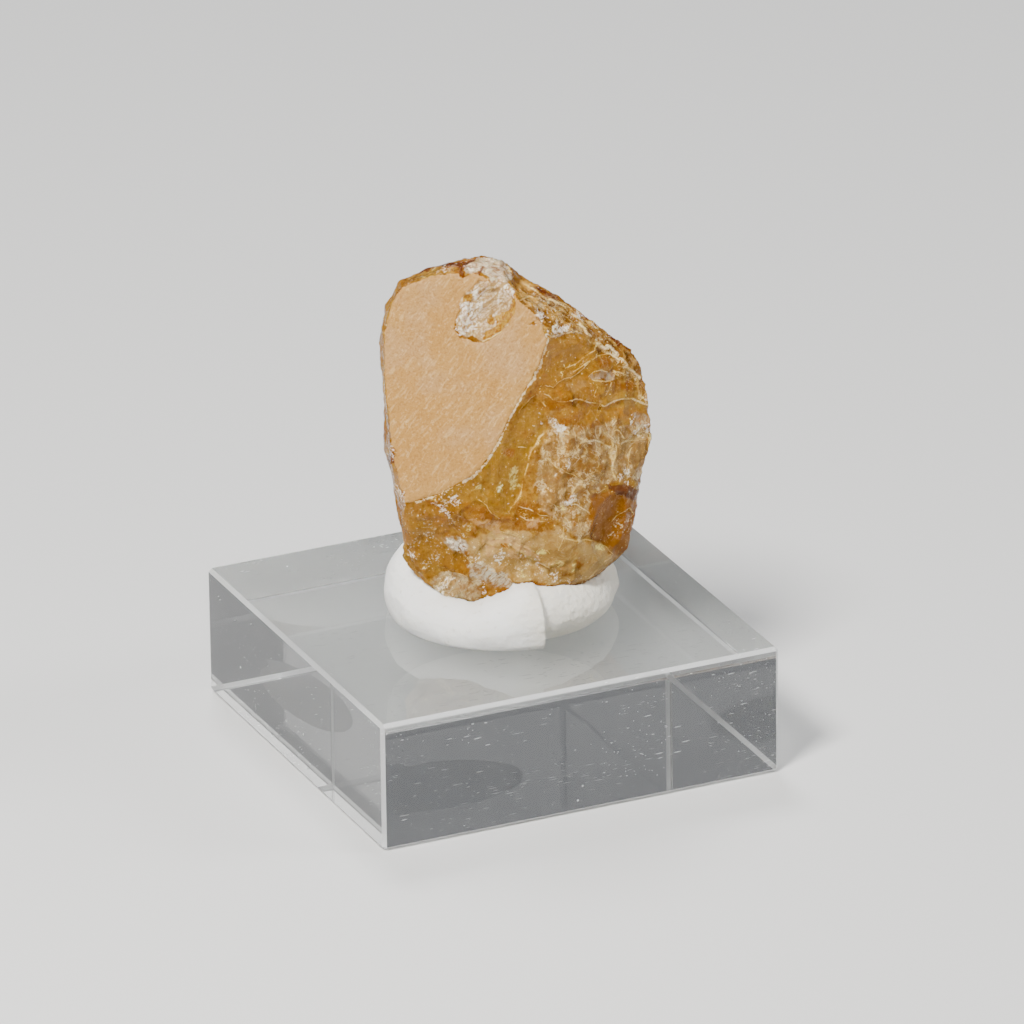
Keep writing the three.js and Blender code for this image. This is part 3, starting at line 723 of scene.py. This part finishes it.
def buildCrystal():
    piece = remeshedCopy("stibiotantalite_crystal", "crystal", crystalWork["voxel"])
    mesh = piece.data
    co = coordsOf(mesh)
    no = normalsOf(mesh)
    p = toSpecimen(co)
    n = turnIn(no)
    shown = toFrame(co)
    front = ramp(no @ np.array(cameraAxes()[2]), -0.1, 0.2)
    masks, stray = placeMasks(p, shown, front)
    scarDepth = regionDepth(shown, places["scar"][1][0]) / perMm

    offBroad = np.abs((p - broadPoint) @ broadNormal)
    broad = (1 - ramp(offBroad, 0.05, 0.16)) * ramp(n @ broadNormal, 0.86, 0.95) * (1 - masks["scar"] * front)
    edgeBand = (1 - ramp(offBroad, 0.08, 0.4)) * (1 - broad) * front
    offRear = np.abs((p - rearPoint) @ rearNormal)
    rear = (1 - ramp(offRear, 0.05, 0.16)) * ramp(n @ rearNormal, 0.86, 0.95)
    flat = np.maximum(broad, rear)

    # Behind and above, where no outline is drawn, milky, dark and bruised places come from noise.
    hidden = (1 - front) * (1 - rear)
    masks["milk"] = np.maximum(masks["milk"], hidden * ramp(layered(p, 0.16, 2, 91), -0.05, 0.3))
    masks["dark"] = np.maximum(masks["dark"], hidden * ramp(layered(p, 0.2, 2, 95), 0.3, 0.5))
    masks["white"] = np.maximum(masks["white"], 0.7 * hidden * ramp(ridged(p, 0.35, 2, 97), 0.88, 0.95))
    # painted glitter spread over the hidden sides as well
    masks["glitter"] = np.maximum(masks["glitter"], 0.6 * hidden)

    # Relief: ridges on the broken surfaces, splinters along the rim, the crushed hollow.
    warp = p + 0.35 * spread(p, 0.8, 2, (11, 12, 13))
    coarse = ridged(warp * [1, 1, 0.5], 1.1, 2, 21) - 0.72
    medium = ridged(warp * [1, 1, 0.6], 2.4, 2, 24) - 0.72
    fine = layered(p, 5.5, 2, 27)
    rimOff, _, rimRun = alongLine(shown, rimLine)
    rimPlace = np.stack([rimRun / perMm * 0.9, rimOff / perMm * 3.6, 0.3 * layered(p, 0.8, 2, 31)], 1)
    splinters = ridged(rimPlace, 1.0, 2, 34)

    height = np.full(len(p), crystalWork["hackle"])
    for kind in ("milk", "smooth", "scar"):
        height += (crystalWork[kind + "Hackle"] - height) * masks[kind]
    height *= 1 - masks["rim"]
    lift = height * (1.1 * coarse + 1.5 * medium)
    lift += crystalWork["rimHackle"] * 1.6 * (splinters - 0.75) * masks["rim"]
    lift += crystalWork["specks"] * fine * np.clip(masks["white"] + masks["scar"] + 0.3 * masks["rim"], 0, 1)
    lift -= crystalWork["scarDepth"] * ramp(scarDepth, 0, 1.0) * front

    # Fracture lines: a fine ridge each, and a step down beyond some of them.
    vein = np.full(len(p), 9.0)
    bright = np.zeros(len(p))
    dash = crystalWork["dash"]
    for width, shine, drop, points in [*fractures, (1.1, 0.9, 0.0, chippedEdge)]:
        off, side, run = alongLine(shown + crystalWork["lineWander"] * stray, points)
        dashes = np.stack([run / dash + points[0][0], off / dash, 0.4 * p[:, 1]], 1)
        shine = shine * (0.45 + 0.65 * ramp(valueNoise(dashes, 1.0, 87), -0.6, 0.2))
        if drop:
            below = side * np.sign(drop) > 0
            lift -= abs(drop) * below * (1 - ramp(off, 3, 9 + 50 * abs(drop))) * front
        lift += crystalWork["lineRise"] * shine * (1 - ramp(off, 0.5, 1.8 * width)) * front
        nearer = off / width < np.abs(vein)
        vein = np.where(nearer, side * off / width, vein)
        bright = np.where(nearer, shine * (off < 2.0), bright)
    lift -= crystalWork["edgeChips"] * ramp(layered(p, 1.7, 2, 81), -0.1, 0.35) * edgeBand
    lift *= 1 - flat * (1 - 0.6 * masks["white"])
    lift += crystalWork["faceSwell"] * layered(p, 0.5, 2, 41) * flat
    putCoords(mesh, co + no * lift[:, None] * mm)

    onEdge = 1 - ramp(alongLine(shown, chippedEdge)[0], 4, 8)
    masks["broad"] = broad * (1 - 0.9 * masks["white"])
    masks["rear"] = rear
    masks["chips"] = edgeBand * (0.2 + 0.8 * onEdge)
    masks["vein"] = np.clip(vein, -4, 4)
    masks["veinBright"] = bright * (front > 0.4)
    masks["splinters"] = splinters
    masks["lilac"] = ramp(layered(p, 0.33, 3, 45), -0.2, 0.45) * broad
    for kind in masks:
        putMask(mesh, kind, masks[kind])
    return piece


def crystalMaterial():
    s = Shader("amberCrystal")
    look = crystalWork["colours"]
    grain = crystalWork["grain"]
    place = s.place()
    along = s.turned(place, (0, 0, -seat["turn"]))  # the specimen's own directions
    swirl, blotch, grit, speckle = (s.grain(place, *grain[k]) for k in ("swirl", "blotch", "grit", "speckle"))
    fleck = 0.55 * speckle + 0.45 * grit
    wisps = s.grain(place, *grain["wisps"]).crest(0.014)
    threads = s.grain(s.scaled(place, (1.0, 1.0, 0.6)), *grain["threads"]).crest(0.020)
    filigree = s.grain(place, *grain["filigree"]).crest(0.030)
    marks = crystalWork["splits"]
    splits = s.grain(s.scaled(s.turned(along, marks["turn"]), marks["sizes"]), 1.0, 3, 0.6, 0.8)
    edge = 0.5 * (blotch - 0.5) + 0.3 * (grit - 0.5)

    def zone(name):
        return (s.mask(name) + edge).between(0.34, 0.66)

    def tinted(colour, amount, name):
        return s.mixed(amount, colour, look[name])

    def twoTone(colour, amount, sway, low, high):  # a shade and a light tone that sway against each other
        return s.mixed(amount, colour, s.mixed(sway, look[low], look[high]))

    # The stone's own colour, from zone to zone.
    milk, scar, rim, grey, honey = (zone(k) for k in ("milk", "scar", "rim", "grey", "honey"))
    dark, plate, lobe, crack, pink = (zone(k) for k in ("dark", "plate", "lobe", "crack", "pink"))
    scarWall = zone("scarWall")
    splinters = s.mask("splinters")
    streaks = (0.6 * splits + 0.4 * grit).between(0.42, 0.57)
    colour = s.mixed((swirl + 0.4 * (grit - 0.5)).between(0.35, 0.65), look["deepAmber"], look["paleAmber"])
    colour = tinted(colour, 0.6 * blotch.between(0.3, 0.7), "amber")
    colour = tinted(colour, 0.75 * zone("orange"), "orange")
    colour = tinted(colour, 0.85 * zone("olive"), "olive")
    curdled = (blotch + 0.6 * (grit - 0.5)).between(0.38, 0.62)
    colour = twoTone(colour, milk * 0.85, curdled, "milkShade", "milk")
    colour = tinted(colour, plate * 0.85, "plate")
    swirled = (swirl + 0.3 * (blotch - 0.5)).between(0.42, 0.58)
    colour = twoTone(colour, honey * 0.85, swirled, "honeyShade", "honey")
    colour = tinted(colour, grey * (0.3 + 0.6 * grit.between(0.4, 0.6)), "grey")
    colour = tinted(colour, dark * 0.95, "dark")
    colour = tinted(colour, pink * (0.35 + 0.5 * splits.between(0.42, 0.58)), "pink")
    # The knob: its own cream, partly painted highlight.
    colour = tinted(colour, zone("knob") * (0.30 + 0.68 * streaks), "cream")
    colour = tinted(colour, lobe * (0.35 + 0.55 * streaks), "lobe")
    colour = tinted(colour, zone("film") * (0.20 + 0.75 * streaks), "film")
    colour = tinted(colour, fleck.between(0.48, 0.38) * (0.6 - 0.35 * honey), "deepAmber")
    colour = tinted(colour, fleck.between(0.54, 0.64) * (1 - 0.6 * dark) * (0.6 - 0.25 * honey), "fleck")
    # On the rim: painted highlights in gold on the crests of the splinters, painted shade in the dark brown
    # between them.
    splintered = (splinters + 0.5 * (fleck - 0.5)).between(0.55, 0.95)
    colour = twoTone(colour, rim * 0.9, splintered, "rimShade", "gold")
    colour = tinted(colour, crack * 0.95, "crack")
    colour = twoTone(colour, scar, (0.5 * splits + 0.5 * fleck).between(0.44, 0.56), "scarShade", "silver")
    colour = twoTone(colour, scar * scarWall * 0.9, fleck.between(0.42, 0.56), "deepAmber", "olive")

    # What is bright on it: the web of healed cracks, fracture lines (partly painted glints along their lit
    # edges), painted glints and glitter, painted highlights on the rim's splinters, bruises and chips.
    webbed = 0.16 + 0.9 * milk + 0.4 * lobe + 0.08 * honey + 0.3 * rim + 0.5 * grey
    webbed = webbed.clipped() * (1 - 0.8 * plate)
    web = 0.9 * wisps * blotch.between(0.38, 0.52) + 0.8 * threads * grit.between(0.42, 0.56)
    web = (0.8 * web + 0.2 * filigree * swirl.between(0.42, 0.56)).clipped() * webbed
    # The pale fracture lines: partly their own pale colour, partly painted glints along their lit edges,
    # broken into glinting grains.
    broken = s.mask("veinBright") + 1.6 * (fleck - 0.5) + 0.8 * (blotch - 0.5)
    vein = (abs(s.mask("vein")) + 2.0 * (fleck - 0.5)).between(0.75, 0.15) * broken.between(0.15, 0.9)
    vein = vein * (0.4 + 0.6 * speckle.between(0.40, 0.50))
    # Painted glints in the traced spots.
    glow = zone("glow") * (0.08 + 0.92 * (0.5 * fleck + 0.5 * splits).between(0.45, 0.55))
    # Painted glints on the highest crests of the rim's splinters.
    splinterGlint = rim * (splinters + 0.7 * (fleck - 0.5)).between(0.95, 1.03)
    # Painted glitter: bright dots from this fine noise, denser in the glitter places, painted in the vein
    # colour.
    sparkleGrain = 0.7 * speckle + 0.3 * grit
    shards = 0.45 * speckle + 0.55 * splits
    frost = (shards + 0.24 * s.mask("white") + 0.25 * (blotch - 0.5)).between(0.64, 0.74)
    glitter = (sparkleGrain + 0.10 * s.mask("glitter") + 0.3 * (blotch - 0.5)).between(0.66, 0.74)
    frostScar = (0.5 * splits + 0.5 * fleck + 0.6 * (blotch - 0.5)).between(0.53, 0.63)
    frostScar = scar * frostScar * (1 - scarWall)
    chips = (s.mask("chips") + 1.7 * (fleck - 0.5) + 0.9 * (blotch - 0.5)).between(0.66, 0.92)
    # Painted glints: fine golden dots all over the stone, except where it is milky.
    paintedGlintDots = (fleck + 0.35 * (swirl - 0.5)).between(0.65, 0.70) * (1 - milk)
    bright = (vein + splinterGlint * 0.6 + chips).clipped()
    colour = tinted(colour, web * 0.8, "web")
    colour = tinted(colour, (glow + 0.8 * paintedGlintDots).clipped(), "glow")
    colour = tinted(colour, glitter * 0.8, "vein")
    colour = twoTone(colour, bright, broken.between(0.7, 1.3), "goldLine", "vein")
    white = (0.85 * frost + frostScar + 0.5 * chips).clipped()
    colour = twoTone(colour, white * 0.9, speckle.between(0.4, 0.6), "silver", "white")

    shells = crystalWork["shells"]
    dishes = s.cells(s.warped(place, shells["push"], shells["by"]), shells["size"])
    dishes = dishes ** 2.0 * (1 - 0.6 * s.mask("smooth"))
    relief = s.bump(dishes + 0.16 * s.grain(place, *grain["pores"]), 1.0, shells["depth"])
    glass = s.surface(crystalWork["glass"], {"Normal": relief})
    cloud = s.surface(crystalWork["cloud"], {"Base Color": colour, "Normal": relief})
    solid = 0.6 + 0.2 * milk + 0.2 * honey + 0.3 * dark + 0.3 * pink + 0.4 * scar + 0.25 * rim
    solid = (solid + bright + frost + 0.4 * web + chips + paintedGlintDots + 0.4 * crack).clipped()
    body = s.blended(solid, glass, cloud)

    # The natural faces: satin, with growth marks.
    marks = crystalWork["fibres"]
    fibres = s.grain(s.scaled(s.turned(along, marks["turn"]), marks["sizes"]), 1.0, 3, 0.6, 0.6)
    clouds = s.grain(place, *grain["clouds"])
    face = s.mixed((clouds + 0.3 * (blotch - 0.5)).between(0.38, 0.62), look["tan"], look["tanGold"])
    face = tinted(face, (s.mask("lilac") + 0.9 * (blotch - 0.5)).between(0.0, 1.0) * 0.55, "tanLilac")
    face = tinted(face, speckle.between(0.47, 0.36) * 0.5, "tanShade")
    face = tinted(face, fibres.between(0.54, 0.66) * 0.42, "tanPale")
    face = tinted(face, fibres.between(0.44, 0.34) * 0.28, "tanShade")
    # Painted glints: sparse small sparkles of pale tan.
    face = tinted(face, (speckle + 0.5 * (grit - 0.5)).between(0.60, 0.72) * 0.5, "tanPale")
    growth = s.bump(speckle + fibres, 0.6, crystalWork["growthDepth"])
    satin = s.surface(crystalWork["satin"], {"Base Color": face, "Normal": growth})
    onFace = (s.mask("broad") + 0.3 * s.mask("rear") + 0.2 * (blotch - 0.5)).between(0.4, 0.6)
    volume = s.node("ShaderNodeVolumeAbsorption", {}, crystalWork["depthTint"])["Volume"]
    return s.finish(s.blended(onFace, body, satin), volume)


crystal = buildCrystal()
crystal.data.materials.append(crystalMaterial())
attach(crystal, "root")
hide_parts("stibiotantalite_crystal")
report(crystal)


# Putty

puttyWork = {
    "voxel": 0.15,  # mm, as is all down to the lip
    "lumps": 0.09,  # relief left by the fingers
    "pits": 0.03,
    "dents": 0.015,
    "lipReach": 0.7,  # how far from the crystal the putty is drawn onto it
    "lipGap": 0.02,
    "grain": {"tone": (130, 3), "coarse": (900, 3), "fine": (2600, 3)},  # the noises: size and layers
    "pressDepth": 0.00014,  # m
    "cool": (0.94, 0.935, 0.89),
    "warm": (0.83, 0.79, 0.68),
    "specks": (0.62, 0.58, 0.50),
    "matte": {"Roughness": 0.62, "Subsurface Weight": 0.25, "Subsurface Radius": (0.0010, 0.0009, 0.0007),
              "Subsurface Scale": 1.0},
}


def buildPutty():
    piece = remeshedCopy("putty_pad", "putty", puttyWork["voxel"])
    mesh = piece.data
    co = coordsOf(mesh)
    no = normalsOf(mesh)
    p = toSpecimen(co)
    lift = puttyWork["lumps"] * layered(p, 0.55, 2, 51)
    lift -= puttyWork["pits"] * ramp(layered(p, 3.0, 2, 55), 0.25, 0.6)
    lift += puttyWork["dents"] * layered(p, 2.2, 2, 57)
    lift *= ramp(p[:, 2], 0.1, 0.6)
    co = co + no * lift[:, None] * mm

    # Drawn up onto the crystal, so that no gap is left round it.
    stone = BVHTree.FromObject(crystal, bpy.context.evaluated_depsgraph_get())
    reach = puttyWork["lipReach"] * mm
    for k in range(len(co)):
        touch, outward, _, off = stone.find_nearest(Vector(co[k]), reach)
        if touch is None or p[k, 2] < 0.3:
            continue
        pull = 1 - off / reach
        co[k] += (np.array(touch + outward * puttyWork["lipGap"] * mm) - co[k]) * min(1, 1.6 * pull)
    putCoords(mesh, co)
    return piece


def puttyMaterial():
    s = Shader("whitePutty")
    place = s.place()
    tone, coarse, fine = (s.grain(place, *puttyWork["grain"][k]) for k in ("tone", "coarse", "fine"))
    # Paler towards the left and darker, warmer towards the right: the pale left is partly painted light where
    # the key light falls, and the tone noise is the putty's own uneven colour.
    across = s.node("ShaderNodeSeparateXYZ", {}, {"Vector": s.turned(place, (0, 0, -seat["turn"]))})["X"]
    warm = (across.between(-0.002, 0.007) * 0.6 + (tone - 0.5)).between(0.1, 0.6)
    colour = s.mixed(warm, puttyWork["cool"], puttyWork["warm"])
    colour = s.mixed(fine.between(0.60, 0.72) * 0.35, colour, puttyWork["specks"])
    pressed = (fine + 0.9 * coarse) * (0.6 + 1.1 * warm)  # rougher where it is warmer
    relief = s.bump(pressed, 0.6, puttyWork["pressDepth"])
    return s.finish(s.surface(puttyWork["matte"], {"Base Color": colour, "Normal": relief}))


putty = buildPutty()
putty.data.materials.append(puttyMaterial())
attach(putty, "root")
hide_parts("putty_pad")
report(putty)


# Block

blockWork = {
    "scratches": [  # how each set is turned, its cells, and how few places have it
        (4, (260, 2600, 2600), 0.53),
        (-12, (320, 3200, 3200), 0.56),
        (60, (240, 3000, 3000), 0.58),
    ],
    "specks": 560,
    "patches": {"scratches": (90, 2), "specks": (240, 2)},  # where they gather: size and layers
    "clear": {"Base Color": (0.97, 0.985, 0.98), "Roughness": 0.0, "IOR": 1.49, "Transmission Weight": 1.0},
    "frosted": {"Base Color": (0.92, 0.93, 0.93), "Roughness": 0.35, "IOR": 1.49, "Transmission Weight": 0.4},
}


def acrylicMaterial():
    s = Shader("clearAcrylic")
    place = s.place()
    patchy = s.grain(place, *blockWork["patches"]["scratches"])
    speckled = s.grain(place, *blockWork["patches"]["specks"])

    def scratched(turn, sizes, gate):
        lines = s.cells(s.scaled(s.turned(place, (0, 0.4 * turn, turn)), sizes), 1.0)
        return lines.between(0.13, 0.06) * (patchy > gate)

    specks = s.cells(place, blockWork["specks"]).between(0.060, 0.03) * (speckled > 0.50)
    worn = (0.55 * sum(scratched(*one) for one in blockWork["scratches"]) + 0.8 * specks).clipped()
    facing = s.node("ShaderNodeSeparateXYZ", {}, {"Vector": s.node("ShaderNodeTexCoord")["Normal"]})
    squarest = abs(facing["X"]).maths("MAXIMUM", abs(facing["Y"])).maths("MAXIMUM", abs(facing["Z"]))
    sawn = squarest.between(0.94, 0.85)  # the chamfers, which face no one way
    clear = s.surface(blockWork["clear"])
    frosted = s.surface(blockWork["frosted"])
    return s.finish(s.blended((worn + 0.7 * sawn).clipped(), clear, frosted))


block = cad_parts["acrylic_block"]
block.data.materials.clear()
block.data.materials.append(acrylicMaterial())
print("block dressed")


# Stage, light and camera

stageWork = {
    "half": 1.5,
    "drop": 0.00005,
    "floor": {"Base Color": (0.72, 0.72, 0.71), "Roughness": 0.6},
    "sky": {"Color": (0.9, 0.93, 1, 1), "Strength": 0.14},
    "aim": (0, 0, 0.018),
    "lights": {
        "key": {"at": (-0.16, -0.12, 0.26), "size": 0.07, "power": 2.0, "colour": (1, 0.98, 0.95)},
        "fill": {"at": (0.32, -0.16, 0.22), "size": 0.14, "power": 0.7, "colour": (0.97, 0.98, 1)},
        "back": {"at": (0.04, 0.20, 0.34), "size": 0.10, "power": 0.9, "colour": (1, 1, 1)},
    },
}


def buildStage():
    half = stageWork["half"]
    corners = [(-half, -half, 0), (half, -half, 0), (half, half, 0), (-half, half, 0)]
    mesh = bpy.data.meshes.new("floor")
    mesh.from_pydata(corners, [], [(0, 1, 2, 3)])
    floor = bpy.data.objects.new("floor", mesh)
    floor.location.z = -stageWork["drop"]
    bpy.context.scene.collection.objects.link(floor)
    s = Shader("paleFloor")
    floor.data.materials.append(s.finish(s.surface(stageWork["floor"])))


def buildLights():
    for name, one in stageWork["lights"].items():
        data = bpy.data.lights.new(name, "AREA")
        data.size = one["size"]
        data.energy = one["power"]
        data.color = one["colour"]
        lamp = bpy.data.objects.new(name, data)
        lamp.location = one["at"]
        towards = Vector(stageWork["aim"]) - Vector(one["at"])
        lamp.rotation_euler = towards.to_track_quat("-Z", "Y").to_euler()
        bpy.context.scene.collection.objects.link(lamp)
    world = bpy.data.worlds.new("soft")
    world.use_nodes = True
    for key, value in stageWork["sky"].items():
        world.node_tree.nodes["Background"].inputs[key].default_value = value
    bpy.context.scene.world = world


def buildCamera():
    across, upright, back, place = cameraAxes()
    data = bpy.data.cameras.new("camera")
    data.sensor_width = camera["sensor"]
    data.lens = camera["focal"] * camera["sensor"] / camera["frame"]
    data.clip_start = 0.01
    data.clip_end = 10
    eye = bpy.data.objects.new("camera", data)
    eye.matrix_world = Matrix.Translation(place * mm) @ Matrix((across, upright, back)).transposed().to_4x4()
    bpy.context.scene.collection.objects.link(eye)
    bpy.context.scene.camera = eye


buildStage()
buildLights()
buildCamera()
print("stage, lights and camera made")
